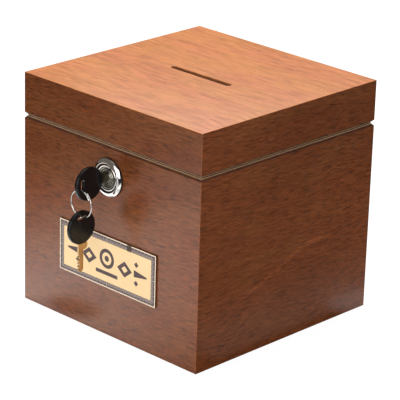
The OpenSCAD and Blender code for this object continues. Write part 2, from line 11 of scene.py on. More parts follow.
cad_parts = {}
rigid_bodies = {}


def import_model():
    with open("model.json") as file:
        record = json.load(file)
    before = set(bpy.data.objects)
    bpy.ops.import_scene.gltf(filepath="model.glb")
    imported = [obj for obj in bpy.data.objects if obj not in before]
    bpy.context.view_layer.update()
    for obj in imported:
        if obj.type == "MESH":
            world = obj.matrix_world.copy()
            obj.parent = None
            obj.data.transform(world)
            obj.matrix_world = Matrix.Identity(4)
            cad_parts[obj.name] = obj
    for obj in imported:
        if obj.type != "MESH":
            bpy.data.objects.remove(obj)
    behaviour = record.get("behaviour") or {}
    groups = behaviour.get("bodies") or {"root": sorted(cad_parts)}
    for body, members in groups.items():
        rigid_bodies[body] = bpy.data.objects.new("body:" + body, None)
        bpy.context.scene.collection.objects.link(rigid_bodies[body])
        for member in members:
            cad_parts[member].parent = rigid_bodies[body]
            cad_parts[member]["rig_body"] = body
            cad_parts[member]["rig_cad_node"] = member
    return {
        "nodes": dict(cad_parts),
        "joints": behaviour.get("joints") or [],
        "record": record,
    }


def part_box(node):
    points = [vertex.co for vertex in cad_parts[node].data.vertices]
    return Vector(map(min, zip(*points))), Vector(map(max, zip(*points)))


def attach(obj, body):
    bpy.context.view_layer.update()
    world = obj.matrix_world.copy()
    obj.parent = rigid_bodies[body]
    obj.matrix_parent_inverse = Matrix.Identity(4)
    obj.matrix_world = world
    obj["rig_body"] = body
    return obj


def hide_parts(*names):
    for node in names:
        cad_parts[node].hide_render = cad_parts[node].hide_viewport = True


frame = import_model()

bl_info = {
    "name": "Tip Box",
    "version": (1, 0, 0),
    "blender": (4, 5, 0),
    "location": "3D View > Sidebar > Tip Box",
    "description": "Builds a wooden tip box with its lock, keys and name plate",
    "category": "Object",
}

MM = 0.001
CLOSE = 1e-6
FLAT_ANGLE = math.radians(1)
SMOOTH_ANGLE = math.radians(30)
WHITE = (1, 1, 1, 1)

NODES = frame["nodes"]
JOINTS = {joint["name"]: joint for joint in frame["joints"]}
SLOTS = {part["node"]: part["material_slot"] for part in frame["record"]["subparts"]}

# Places that the frame gives, in metres
BOX_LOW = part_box("body_front_panel")[0].copy()
BOX_HIGH = Vector((-BOX_LOW.x, -BOX_LOW.y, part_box("lid_top_panel")[1].z))
SEAM_Z = JOINTS["lid_open"]["pos_m"][2]
LOCK_AT = Vector(JOINTS["lock_turn"]["pos_m"])
PLATE_LOW, PLATE_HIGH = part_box("name_plate")
RING_LOW, RING_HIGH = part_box("key_ring")


def colour(name, description, value):
    """A colour that the user can change."""
    return FloatVectorProperty(
        name=name, description=description, subtype="COLOR", size=3, min=0, max=1, default=value
    )


def length(name, description, millimetres):
    """A length that the user can change, given in millimetres and kept in metres."""
    return FloatProperty(
        name=name, description=description, unit="LENGTH", min=0, default=millimetres * MM, precision=5
    )


def share(name, description, value):
    """A plain number that the user can change."""
    return FloatProperty(name=name, description=description, min=0, default=value)


def whole(name, description, value, least):
    """A whole number that the user can change."""
    return IntProperty(name=name, description=description, min=least, default=value)


def power(name, description, watts):
    """A lamp's power that the user can change."""
    return FloatProperty(name=name, description=description, unit="POWER", min=0, default=watts)


def angle(name, description, degrees):
    """An angle that the user can change, given in degrees."""
    turn = math.radians(degrees)
    return FloatProperty(name=name, description=description, subtype="ANGLE", default=turn)


class BoardLooks(bpy.types.PropertyGroup):
    """Sizes and colours of the laminated boards."""

    edge_round: length("Edge rounding", "Radius of the box's outer edges", 0.4)
    foot_round: length("Foot rounding", "Radius of the edges it stands on", 0.25)
    slot_round: length("Slot rounding", "Radius of the coin slot's rim", 0.3)
    groove_round: length("Groove rounding", "Radius of the parting groove's outer edges", 0.15)
    film: length("Film", "Depth to which the boards are coloured like their face", 1.12)
    wall: colour("Wall", "Printed wood of the walls", (0.169, 0.050, 0.0128))
    wall_red: colour("Wall, red", "Redder patches of the walls", (0.158, 0.041, 0.0105))
    # The top's colours are the walls' print painted lighter, for the stronger light that falls on the top
    top: colour("Top", "Printed wood of the top", (0.352, 0.135, 0.048))
    top_red_lit: colour("Top, red", "Redder patches of the top", (0.352, 0.125, 0.051))
    core: colour("Core", "Bare fibreboard", (0.46, 0.27, 0.14))
    slot_wall: colour("Slot wall", "Stained walls of the coin slot", (0.20, 0.085, 0.025))
    fleck: share("Flecks", "Depth of the dark flecks in the print", 0.44)
    roughness: share("Roughness", "Roughness of the satin film", 0.25)


class PlateLooks(bpy.types.PropertyGroup):
    """Sizes and colours of the name plate."""

    margin: length("Margin", "Width of the plain line round the border", 0.8)
    rail: length("Rail", "Width of the lines on both sides of the fret", 0.35)
    fret: length("Fret", "Width of the meander between its rails", 2.4)
    long_units: whole("Long side", "Fret units on a long side", 28, 4)
    short_units: whole("Short side", "Fret units on a short side", 10, 2)
    cream: colour("Cream", "Field of the plate", (0.79, 0.56, 0.30))
    border: colour("Border", "Line round the border", (0.79, 0.64, 0.48))
    fret_tone: colour("Fret tone", "Lines of the meander", (0.34, 0.28, 0.24))
    ink: colour("Ink", "Ground of the border, and the ornament", (0.048, 0.027, 0.038))
    edge: colour("Edge", "Cut sides of the plate", (0.05, 0.026, 0.014))
    edge_round: length("Edge rounding", "Radius of the plate's edges", 0.08)


class LockLooks(bpy.types.PropertyGroup):
    """Sizes and colours of the lock and the other hardware."""

    crest: length("Crest", "Distance of the bezel's crest from its edge", 2.4)
    lip: length("Lip", "Radius of the bezel's inner lip", 0.4)
    groove_floor: length("Groove floor", "Height of the bezel's groove above the wall", 1.2)
    collar: length("Collar", "Width of the collar round the plug", 1.34)
    collar_height: length("Collar height", "Height of the collar above the wall", 2.5)
    collar_round: length("Collar rounding", "Radius of the collar's edges", 0.6)
    bore: length("Bore", "Radius of the barrel's bore", 6.06)
    barrel: length("Barrel", "Radius of the threaded barrel", 9.3)
    barrel_length: length("Barrel length", "Length of the barrel behind the bezel", 21)
    flats: length("Flats", "Distance of the barrel's flats from its axis", 8.2)
    thread_pitch: length("Thread pitch", "Distance between two threads of the barrel", 1.0)
    thread_depth: length("Thread depth", "Depth of the barrel's threads", 0.4)
    ridge: length("Ridge", "Distance between two ridges of the plug's face", 1.2)
    ridge_depth: length("Ridge depth", "Depth between the ridges", 0.3)
    bevel: length("Bevel", "Bevel of the stamped pieces' edges", 0.1)
    chrome: colour("Chrome", "Bezel", (0.86, 0.82, 0.77))
    nickel: colour("Nickel", "Plug", (0.56, 0.52, 0.42))
    zinc: colour("Zinc", "Zinc plated steel", (0.62, 0.63, 0.62))
    brass: colour("Brass", "Hinges and wafers", (0.75, 0.52, 0.22))


class KeyLooks(bpy.types.PropertyGroup):
    """Sizes and colours of the keys and their ring."""

    plastic: colour("Plastic", "Key heads", (0.004, 0.004, 0.0042))
    blade: colour("Blade", "Blade of the spare key", (0.66, 0.43, 0.22))
    # The blade in the lock is a darker copy of the brass, with the shade on it painted in
    shaded_blade: colour("Shaded blade", "Blade of the key in the lock", (0.17, 0.15, 0.11))
    wire: colour("Wire", "Key ring", (0.76, 0.74, 0.70))
    wire_sides: whole("Wire sides", "Sides of the ring's wire", 16, 6)
    ring_steps: whole("Ring steps", "Steps along the ring's wire", 130, 24)
    bevel: length("Bevel", "Bevel of the blades' edges", 0.14)


class StudioLooks(bpy.types.PropertyGroup):
    """The camera's place and the lights' levels."""

    camera_at: FloatVectorProperty(
        name="Camera", description="Place of the camera", subtype="TRANSLATION", unit="LENGTH",
        size=3, default=(0.8898, -0.9226, 0.5604)
    )
    azimuth: angle("Azimuth", "Turn of the view round the box", 43.89)
    elevation: angle("Elevation", "Height of the view above the horizon", 20.98)
    roll: angle("Roll", "Tilt of the camera", 1.70)
    lens: FloatProperty(name="Lens", description="Focal length in millimetres", default=198.39, min=20)
    key_power: power("Overhead", "Power of the overhead softbox", 34.0)
    fill_power: power("Fill", "Power of the fill light at the front", 8.0)
    low_power: power("Low fill", "Power of the low light in front", 0.16)
    right_power: power("Right fill", "Power of the fill light at the right", 4.5)
    card_power: power("Card", "Power of the card behind the box", 0.08)
    sky: share("Sky", "Level of the even light from all sides", 0.42)


class TipBoxLooks(bpy.types.PropertyGroup):
    """All that a user would change on the tip box."""

    boards: PointerProperty(type=BoardLooks)
    plate: PointerProperty(type=PlateLooks)
    lock: PointerProperty(type=LockLooks)
    keys: PointerProperty(type=KeyLooks)
    studio: PointerProperty(type=StudioLooks)


# Modelling

def only(piece):
    """Selects one object and makes it the active one."""
    bpy.ops.object.select_all(action="DESELECT")
    piece.select_set(True)
    bpy.context.view_layer.objects.active = piece


def select_all():
    """Selects all of an open mesh."""
    bpy.ops.mesh.select_all(action="SELECT")


@contextmanager
def editing(piece):
    """Opens a piece in edit mode with nothing selected."""
    only(piece)
    bpy.ops.object.mode_set(mode="EDIT")
    bpy.ops.mesh.select_mode(type="VERT")
    bpy.ops.mesh.select_all(action="DESELECT")
    yield
    bpy.ops.object.mode_set(mode="OBJECT")


def pick(piece, kind, test):
    """Selects the points, edges or faces of an open mesh that pass a test."""
    bpy.ops.mesh.select_mode(type=kind)
    bpy.ops.mesh.select_all(action="DESELECT")
    mesh = bmesh.from_edit_mesh(piece.data)
    items = {"VERT": mesh.verts, "EDGE": mesh.edges, "FACE": mesh.faces}[kind]
    chosen = [item for item in items if test(item)]
    if not chosen:
        raise RuntimeError(f"nothing to select on {piece.name}")
    for item in chosen:
        item.select_set(True)
    bmesh.update_edit_mesh(piece.data)


def both_ends(test):
    """A test for edges: both of their points pass it."""
    return lambda edge: all(test(point.co) for point in edge.verts)


def near(value, target):
    """Whether two lengths are the same, to a hundredth of a millimetre."""
    return abs(value - target) < 0.01 * MM


def apply_place(piece):
    """Moves a piece's place, turn and scale into its mesh."""
    only(piece)
    bpy.ops.object.transform_apply(location=True, rotation=True, scale=True)


def block(low, high):
    """A block between two corners."""
    low, high = Vector(low), Vector(high)
    bpy.ops.mesh.primitive_cube_add(size=1, location=(low + high) / 2, scale=high - low)
    piece = bpy.context.object
    apply_place(piece)
    return piece


def turned(outline, steps):
    """A closed solid turned round the Z axis from an outline of (radius, height) points."""
    first = outline[0]
    bpy.ops.mesh.primitive_plane_add(size=MM, location=(first[0], 0, first[1]))
    piece = bpy.context.object
    apply_place(piece)
    with editing(piece):
        select_all()
        bpy.ops.mesh.merge(type="CENTER")
        for here, there in zip(outline, outline[1:]):
            step = (there[0] - here[0], 0, there[1] - here[1])
            bpy.ops.mesh.extrude_region_move(TRANSFORM_OT_translate={"value": step})
        ends = [Vector((point[0], 0, point[1])) for point in (outline[0], outline[-1])]
        pick(piece, "VERT", lambda point: any((point.co - end).length < CLOSE for end in ends))
        bpy.ops.mesh.edge_face_add()
        select_all()
        bpy.ops.mesh.spin(steps=steps, angle=math.tau, center=(0, 0, 0), axis=(0, 0, 1))
        select_all()
        bpy.ops.mesh.remove_doubles(threshold=CLOSE)
        bpy.ops.mesh.normals_make_consistent(inside=False)
    return piece


def stand_at_lock(piece):
    """Turns a piece made round the Z axis so that it points out of the front wall, on the lock's axis."""
    piece.matrix_world = Matrix.Translation(LOCK_AT) @ Matrix.Rotation(math.radians(90), 4, "X")
    apply_place(piece)


def modify(piece, kind, **settings):
    """Adds a modifier and applies it."""
    only(piece)
    modifier = piece.modifiers.new(kind.title(), kind)
    for name, value in settings.items():
        setattr(modifier, name, value)
    bpy.ops.object.modifier_apply(modifier=modifier.name)


def carve(piece, tool, operation="DIFFERENCE"):
    """Cuts a piece with another, which is used up."""
    modify(piece, "BOOLEAN", object=tool, operation=operation, solver="EXACT")
    only(tool)
    bpy.ops.object.delete()


def break_edges(piece, width, segments=2):
    """Takes the sharpness off all the edges of a piece."""
    modify(
        piece, "BEVEL", width=width, segments=segments, limit_method="ANGLE",
        angle_limit=SMOOTH_ANGLE, use_clamp_overlap=True, miter_outer="MITER_SHARP"
    )


def smooth(piece):
    """Shades a piece smooth, with its corners sharp and its large faces flat."""
    only(piece)
    bpy.ops.object.shade_smooth_by_angle(angle=SMOOTH_ANGLE)
    modify(piece, "WEIGHTED_NORMAL", keep_sharp=True)


def copy_of(node, merge_flats=True):
    """A copy of a CAD node with its own merged mesh, free of the frame."""
    only(NODES[node])
    bpy.ops.object.duplicate()
    piece = bpy.context.object
    bpy.ops.object.parent_clear(type="CLEAR_KEEP_TRANSFORM")
    del piece["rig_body"]
    del piece["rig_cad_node"]
    piece.data.materials.clear()
    bpy.ops.mesh.customdata_custom_splitnormals_clear()
    with editing(piece):
        select_all()
        bpy.ops.mesh.remove_doubles(threshold=CLOSE)
        if merge_flats:
            bpy.ops.mesh.dissolve_limited(angle_limit=FLAT_ANGLE)
    return piece


def hand_over(piece, name, material, *nodes):
    """A finished piece takes its name and material, and stands for its CAD nodes on their body."""
    piece.name = name
    piece.data.name = name
    piece.data.materials.clear()
    piece.data.materials.append(material)
    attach(piece, NODES[nodes[0]]["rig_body"])
    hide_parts(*nodes)


def dress(node, name, material, bevel):
    """A copy of a CAD node with its edges broken stands for the node."""
    piece = copy_of(node)
    break_edges(piece, bevel)
    smooth(piece)
    hand_over(piece, name, material, node)


# Shader maths

class Number:
    """A number that varies over a surface. Reckoning with it adds Math nodes."""

    def __init__(self, nodes, socket):
        self.nodes = nodes
        self.socket = socket

    def maths(self, operation, *values):
        return self.nodes.maths(operation, *values)

    def __add__(self, other):
        return self.maths("ADD", self, other)

    def __radd__(self, other):
        return self.maths("ADD", other, self)

    def __sub__(self, other):
        return self.maths("SUBTRACT", self, other)

    def __rsub__(self, other):
        return self.maths("SUBTRACT", other, self)

    def __mul__(self, other):
        return self.maths("MULTIPLY", self, other)

    def __rmul__(self, other):
        return self.maths("MULTIPLY", other, self)

    def __truediv__(self, other):
        return self.maths("DIVIDE", self, other)

    def __lt__(self, other):
        return self.maths("LESS_THAN", self, other)

    def __gt__(self, other):
        return self.maths("GREATER_THAN", self, other)

    def __abs__(self):
        return self.maths("ABSOLUTE", self)

    def __mod__(self, other):
        return self.maths("FLOORED_MODULO", self, other)

    def least(self, other):
        return self.maths("MINIMUM", self, other)

    def most(self, other):
        return self.maths("MAXIMUM", self, other)

    def root(self):
        return self.maths("SQRT", self)

    def between(self, low, high):
        """1 where the number lies between two others, and 0 elsewhere."""
        return (self > low) * (self < high)

    def rise(self, start, end):
        """Rises smoothly from 0 at start to 1 at end, or falls where end is less than start."""
        inputs = {"Value": self, "From Min": start, "From Max": end, "To Min": 0, "To Max": 1}
        if start > end:
            inputs.update({"From Min": end, "From Max": start, "To Min": 1, "To Max": 0})
        mapped = self.nodes.node("ShaderNodeMapRange", {"interpolation_type": "SMOOTHSTEP"}, inputs)
        return Number(self.nodes, mapped[0])


class Nodes:
    """The nodes of a material or of the world."""

    def __init__(self, tree):
        self.tree = tree
        tree.nodes.clear()

    def node(self, kind, settings=None, inputs=None):
        """Adds a node with its settings and the values or links of its sockets. Gives its outputs."""
        node = self.tree.nodes.new(kind)
        for name, value in (settings or {}).items():
            setattr(node, name, value)
        for name, value in (inputs or {}).items():
            if isinstance(value, Number):
                value = value.socket
            if isinstance(value, bpy.types.NodeSocket):
                self.tree.links.new(value, node.inputs[name])
            else:
                node.inputs[name].default_value = value
        return node.outputs

    def maths(self, operation, *values):
        outputs = self.node("ShaderNodeMath", {"operation": operation}, dict(enumerate(values)))
        return Number(self, outputs[0])

    def place(self):
        """Where on the box a point is, in millimetres."""
        metres = self.node("ShaderNodeTexCoord")["Object"]
        scaled = self.shade(metres, 1 / MM)
        return [Number(self, socket) for socket in self.node("ShaderNodeSeparateXYZ", inputs={0: scaled})]

    def vector(self, x, y, z):
        return self.node("ShaderNodeCombineXYZ", inputs={0: x, 1: y, 2: z})[0]

    def noise(self, x, y, z, detail=2.0, rough=0.5):
        """Soft noise from 0 to 1, whose spots are about 1 wide."""
        inputs = {"Vector": self.vector(x, y, z), "Scale": 1, "Detail": detail, "Roughness": rough}
        return Number(self, self.node("ShaderNodeTexNoise", {"noise_dimensions": "3D"}, inputs)[0])

    def blend(self, factor, first, second):
        """A colour between two others."""
        inputs = {0: factor, 6: full(first), 7: full(second)}
        return self.node("ShaderNodeMix", {"data_type": "RGBA"}, inputs)[2]

    def shade(self, tint, factor):
        """A colour, or another vector, times a number."""
        return self.node("ShaderNodeVectorMath", {"operation": "SCALE"}, {0: tint, "Scale": factor})[0]

    def bump(self, height, depth):
        """A normal from a height of 0 to 1 and the depth in metres between the two."""
        return self.node("ShaderNodeBump", inputs={"Strength": 1, "Distance": depth, "Height": height})[0]

    def rays(self):
        """Whether a ray comes from the camera, and whether it comes off a glossy surface."""
        ray = self.node("ShaderNodeLightPath")
        return Number(self, ray["Is Camera Ray"]), Number(self, ray["Is Glossy Ray"])

    def paper(self, grey):
        return self.node("ShaderNodeBsdfDiffuse", inputs={"Color": (grey, grey, grey, 1)})[0]

    def glow(self, strength):
        return self.node("ShaderNodeEmission", inputs={"Color": WHITE, "Strength": strength})[0]

    def mix(self, factor, first, second):
        return self.node("ShaderNodeMixShader", inputs={0: factor, 1: first, 2: second})[0]

    def surface(self, **sockets):
        """The material's surface, from the names and values of its sockets."""
        inputs = {name.replace("_", " "): value for name, value in sockets.items()}
        shader = self.node("ShaderNodeBsdfPrincipled", inputs=inputs)[0]
        self.node("ShaderNodeOutputMaterial", inputs={"Surface": shader})

    def metal(self, base, roughness, normal):
        self.surface(Base_Color=base, Metallic=1.0, Roughness=roughness, Normal=normal)


def distance(u, v, centre=(0, 0), radii=(1, 1)):
    """How far a point is from a centre, where an ellipse of these radii is at 1."""
    across, up = (u - centre[0]) / radii[0], (v - centre[1]) / radii[1]
    return (across * across + up * up).root()


def full(tint):
    """A colour with its fourth number, where it is plain numbers."""
    return tint if isinstance(tint, bpy.types.NodeSocket) else (*tint, 1)


def new_material(name):
    """A material of that name, its empty node tree, and the place on the box in millimetres."""
    material = bpy.data.materials.new(name)
    material.use_nodes = True
    nodes = Nodes(material.node_tree)
    return material, nodes, *nodes.place()


# Finishes

def fibreboard(nodes, x, y, z, tint):
    """Bare fibreboard: fine felted fibres and a few darker ones."""
    felt = nodes.noise(x * 1.3, y * 1.3, z * 1.3, 3)
    hairs = nodes.noise(x * 0.5, y * 0.5, z * 5.0, 2).rise(0.60, 0.75)
    cloud = nodes.noise(x * 0.06, y * 0.06, z * 0.06, 1)
    level = 0.82 + 0.28 * felt + 0.12 * cloud - 0.18 * hairs
    return nodes.shade(tint, level), felt


def laminate():
    """Printed wood film on fibreboard: dark flecked grain outside, pale core where the boards are cut."""
    looks = bpy.context.scene.tip_box.boards
    material, nodes, x, y, z = new_material("wood_laminate")
    half_w, half_d, height = BOX_HIGH.x / MM, BOX_HIGH.y / MM, BOX_HIGH.z / MM
    from_side, from_front, from_top = half_w - abs(x), half_d - abs(y), height - z
    wall_depth = from_side.least(from_front)
    depth = wall_depth.least(from_top)
    on_top = from_top < wall_depth
    on_side = (from_side < from_front) * (1 - on_top)

    # The grain runs along x on the front, the back and the top, and along y on the sides
    along = x + on_side * (y - x)
    across = z + on_top * (y - z)
    on_end = (1 - on_side) * (1 - on_top)
    face = (1.9 + 3.1 * (x > 0)) * on_side + 5.7 * (y > 0) * on_end + 9.3 * on_top
    warp = nodes.noise(along / 95, across / 60, face, 1) - 0.5
    wander = nodes.noise(along / 30, across / 22, face + 40, 1) - 0.5
    grain = across + (14 - 2 * on_side) * warp + 2.2 * wander

    def layer(seed, long, wide, detail, run=along, thin=grain):
        """Noise with marks about this long and wide, in millimetres."""
        return nodes.noise(run / long, thin / wide, face + seed, detail)

    # The print: broad patches and streaks, fine fibres, pores, and dark dashes that are longer on the top
    narrow = along * (1 - 0.5 * on_top), grain * (1 + 0.35 * on_top)
    patch = layer(10, 52, 17, 2)
    streak = layer(20, 60, 5.0, 2)
    fibre = layer(30, 10, 0.88, 1, *narrow)
    pores = layer(50, 4.2, 0.66, 1, *narrow)
    fine = layer(90, 2.0, 0.28, 1, *narrow)
    fleck = layer(60, 8.5, 0.90, 1, *narrow).rise(0.57, 0.63)
    lines = 0.34 * fibre.rise(0.53, 0.41) + 0.26 * pores.rise(0.50, 0.38) + 0.14 * fine
    level = 1.27 + (0.34 - 0.14 * on_top) * (streak - 0.5) - (1 - 0.25 * on_top) * lines
    level = level - looks.fleck * fleck * (0.25 + 0.7 * patch) * (0.75 + 0.25 * on_top)

    # Growth lines: thin, dark and wavy, far apart
    growth = layer(70, 45, 2.6, 0)
    shown = layer(80, 22, 9, 1).rise(0.42, 0.56)
    level = level * (1 - 0.22 * abs(growth - 0.5).rise(0.032, 0.004) * shown)

    # Painted shade darkens the front upwards and to the left, painted reflections of the lock and keys
    # darken two spots beside the lock, and painted light pales the front at the right
    on_front = on_end * (y < 0)
    darker = (z + 10 * wander - 0.12 * x).rise(72, 122) * (0.14 + 0.10 * x.rise(30, -60))
    painted_light_front = x.rise(30, 66) * z.rise(112, 84) * z.rise(8, 32) * 0.08
    spots = 0.20 * distance(x, z, (17, 114)).rise(12, 2) + 0.24 * distance(x, z, (13, 86)).rise(9, 1)
    level = level * (1 + (painted_light_front - darker - spots) * on_front)

    # The right side has one paler arch in its figure, and painted shade darkens it upwards to the back
    arch = 40 + 18.5 * y.rise(-34, 24)
    arch_line = abs(z - arch - 6 * wander).rise(2.0, 0.6) * y.rise(-42, -30) * y.rise(44, 30)
    painted_shade_back = z.rise(70, 130) * y.rise(-60, 10) * 0.18
    level = level * (1 + (0.42 * arch_line - painted_shade_back) * on_side * (x > 0))

    # The top takes the painted-lighter copy of the print colours, for the stronger light on it
    plain = nodes.blend(on_top, looks.wall, looks.top)
    red = nodes.blend(on_top, looks.wall_red, looks.top_red_lit)
    print_tone = nodes.shade(nodes.blend((patch + 0.12 * on_side).rise(0.40, 0.62), plain, red), level)

    # A painted highlight, partly wear of the film: a thin lighter line where two faces meet, so that the
    # second nearest face is near too
    from_flat = from_top.least(z)
    edge_gap = wall_depth.most(from_side.most(from_front).least(from_flat))
    edge = edge_gap.rise(0.7, 0.2) * (0.4 + 0.6 * nodes.noise(along / 3, across / 3, face, 2))
    print_tone = nodes.shade(print_tone, 1 + 0.22 * edge)

    # In the parting groove the film is dull, with painted shade that is deeper on the upper bevel, which
    # faces down, and painted shade makes the gap between the rims darker still
    from_seam = abs(z - SEAM_Z / MM)
    in_groove = (from_seam < 2.05) * (wall_depth > 0.12)
    painted_gap_shade = (from_seam < 0.3) * (wall_depth > 1.4)
    upper = z > SEAM_Z / MM
    print_tone = nodes.shade(print_tone, 1 - (0.44 + 0.26 * upper) * in_groove)

    core, felt = fibreboard(nodes, x, y, z, looks.core)
    deep_inside = from_side.least(from_front) > 20
    in_slot = deep_inside * (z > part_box("lid_top_panel")[0].z / MM + 0.05)
    stained = nodes.shade(looks.slot_wall, 0.75 + 0.5 * felt)
    # Painted shade also darkens the bare core in the groove, and more in the gap between the rims
    core = nodes.shade(nodes.blend(in_slot, core, stained), 1 - 0.34 * in_groove - 0.60 * painted_gap_shade)

    bare = depth > looks.film / MM
    base = nodes.blend(bare, print_tone, core)
    gloss = looks.roughness + 0.08 * fleck + 0.05 * (streak - 0.5)
    dull = bare.most(in_groove)
    roughness = gloss + dull * (0.75 - gloss)
    height_map = (1 - bare) * (0.5 * fibre - 0.5 * fleck) + bare * felt
    nodes.surface(
        Base_Color=base,
        Roughness=roughness,
        Specular_IOR_Level=0.42,
        Coat_Weight=(1 - dull) * 0.22,
        Coat_Roughness=0.20,
        Normal=nodes.bump(height_map, 0.03 * MM)
    )
    return material


def base_board():
    """Plain fibreboard of the base."""
    looks = bpy.context.scene.tip_box.boards
    material, nodes, x, y, z = new_material("base_board")
    base, felt = fibreboard(nodes, x, y, z, looks.core)
    nodes.surface(Base_Color=base, Roughness=0.7 + 0.15 * felt, Normal=nodes.bump(felt, 0.05 * MM))
    return material


def fret_cells(s, t):
    """The meander's unit, 6 cells along the border and 5 inwards: an upright, a foot, a riser, an arm."""
    upright = s.between(0, 1)
    foot = s.between(0, 5) * (t > 4)
    riser = s.between(4, 5) * (t > 2)
    arm = s.between(2, 5) * t.between(2, 3)
    return upright.most(foot).most(riser.most(arm))


def ornament(x, up):
    """A coin over a slot between lozenges and tapering bars, in millimetres: 1 where there is ink."""
    coin = distance(x, up, (0, 2.2))
    ring = coin.between(4.0, 6.3).most(coin < 1.9)
    slot = (abs(x) < 9.5) * (abs(up + 7.4) < 1.2)
    side = abs(x)
    lozenge = (abs(side - 15.5) * 0.8 + abs(up)) < 5.2
    heart = (abs(side - 15.5) * 0.8 + abs(up)) < 2.2
    bar = side.between(23.5, 34.5) * (abs(up) < 2.3 - (side - 23.5) * 0.16)
    pearl = (abs(side - 25.5) + abs(abs(up) - 6.0)) < 1.9
    return ring.most(slot).most(lozenge * (1 - heart)).most(bar.most(pearl))


def plate_print():
    """The plate's print: a cream field with an ornament, in a meander border between two rails."""
    looks = bpy.context.scene.tip_box.plate
    material, nodes, x, y, z = new_material("plate_print")
    half_w = (PLATE_HIGH.x - PLATE_LOW.x) / 2 / MM
    half_h = (PLATE_HIGH.z - PLATE_LOW.z) / 2 / MM
    up = z - (PLATE_HIGH.z + PLATE_LOW.z) / 2 / MM
    from_end, from_edge = half_w - abs(x), half_h - abs(up)
    inset = from_end.least(from_edge)
    margin, rail, fret = looks.margin / MM, looks.rail / MM, looks.fret / MM

    # The fret is mirrored at the middle of each side, and its units fill the side between the rails
    fret_start = margin + rail
    long_unit = 2 * (half_w - fret_start) / looks.long_units
    short_unit = 2 * (half_h - fret_start) / looks.short_units
    on_end = from_end < from_edge
    s = (abs(x) % long_unit) * (6 / long_unit)
    s_end = (abs(up) % short_unit) * (6 / short_unit)
    s = s + on_end * (s_end - s)
    t = (inset - fret_start) * (5 / fret)
    in_fret = inset.between(fret_start, fret_start + fret)
    rails = inset.between(margin, fret_start).most(
        inset.between(fret_start + fret, fret_start + fret + rail)
    )
    field = inset > fret_start + fret + rail
    ink = in_fret.most(rails).most(ornament(x, up) * field)

    blot = nodes.noise(x * 0.9, up * 0.9, 3, 2)
    cloud = nodes.noise(x * 0.05, up * 0.09, 7, 2)
    ground = nodes.shade(nodes.blend(field, looks.border, looks.cream), 0.95 + 0.08 * cloud)
    tone = nodes.blend(ink * (0.92 + 0.08 * blot), ground, looks.ink)
    tone = nodes.blend(fret_cells(s, t) * in_fret * (0.8 + 0.3 * blot), tone, looks.fret_tone)

    # The border is worn through at one place on the upper edge
    chip = ((abs(x - 19.2) < 2.0 + 2.4 * (blot - 0.5)) * (up > half_h - 4.1)) * (0.86 + 0.14 * blot)
    side = (y > PLATE_LOW.y / MM + 0.1).most(inset < 0.12)
    tone = nodes.blend(side.most(chip), tone, looks.edge)
    nodes.surface(
        Base_Color=tone,
        Roughness=0.34 + 0.1 * blot + 0.1 * ink,
        Specular_IOR_Level=0.3,
        Normal=nodes.bump(blot * 0.4 + ink * 0.3, 0.012 * MM)
    )
    return material


def foam_tape():
    """Adhesive foam with small pores."""
    material, nodes, x, y, z = new_material("foam_tape")
    pores = nodes.noise(x * 3, y * 3, z * 3, 2)
    base = nodes.blend(pores, (0.62, 0.60, 0.52), (0.72, 0.70, 0.64))
    nodes.surface(Base_Color=base, Roughness=0.8 + 0.1 * pores, Normal=nodes.bump(pores, 0.04 * MM))
    return material


def plated(name, tint, roughness, spots, scratch):
    """Metal with cloudy tone, fine scratches and a few dull spots."""
    material, nodes, x, y, z = new_material(name)
    cloud = nodes.noise(x * 0.35, y * 0.35, z * 0.35, 2)
    fine = nodes.noise(x * 1.1, y * 1.1, z * 9, 2)
    dull = nodes.noise(x * 1.9, y * 1.9, z * 1.9, 2).rise(0.60, 0.75)
    base = nodes.shade(tint, 0.90 + 0.2 * cloud - spots * dull)
    roughness = roughness + scratch * (fine - 0.5) + 0.6 * spots * dull
    nodes.metal(base, roughness, nodes.bump(fine, scratch * 0.03 * MM))
    return material


def bezel_chrome():
    """Chrome with painted shade in the groove round the collar, on the collar's inner side and as a thin
    dark line at the wall, and a painted reflection of the brown wood on its upper side.
    """
    looks = bpy.context.scene.tip_box.lock
    material, nodes, x, y, z = new_material("lock_chrome")
    up = z - LOCK_AT.z / MM
    radius = distance(x, up)
    out = BOX_LOW.y / MM - y
    cloud = nodes.noise(x * 0.5, y * 0.5, z * 0.5, 2)
    fine = nodes.noise(x * 1.1, y * 1.1, z * 9, 2)

    # Places by radius and height above the wall: the groove, the rim's foot and the collar's inner side
    groove = radius.between(8.25, 9.3) * (out < 2.8)
    foot = (radius > 11.6) * (out < 1.5)
    inside = (radius < 7.2) * (out < 2.3)
    # Painted shade darkens these hollows and the wall's foot, which are also duller
    recess_shade = groove.most(foot).most(inside) * (out > 0)
    # A painted reflection of the brown wood warms the bezel's upper side
    painted_wood_reflection = up.rise(2, 9) * (0.6 + 0.4 * cloud)
    chrome = nodes.blend(painted_wood_reflection, looks.chrome, (0.96, 0.81, 0.67))
    base = nodes.shade(chrome, (0.92 + 0.16 * cloud) * (1 - 0.88 * recess_shade))
    nodes.metal(base, 0.09 + 0.05 * (fine - 0.5) + 0.4 * recess_shade, nodes.bump(fine, 0.0015 * MM))
    return material


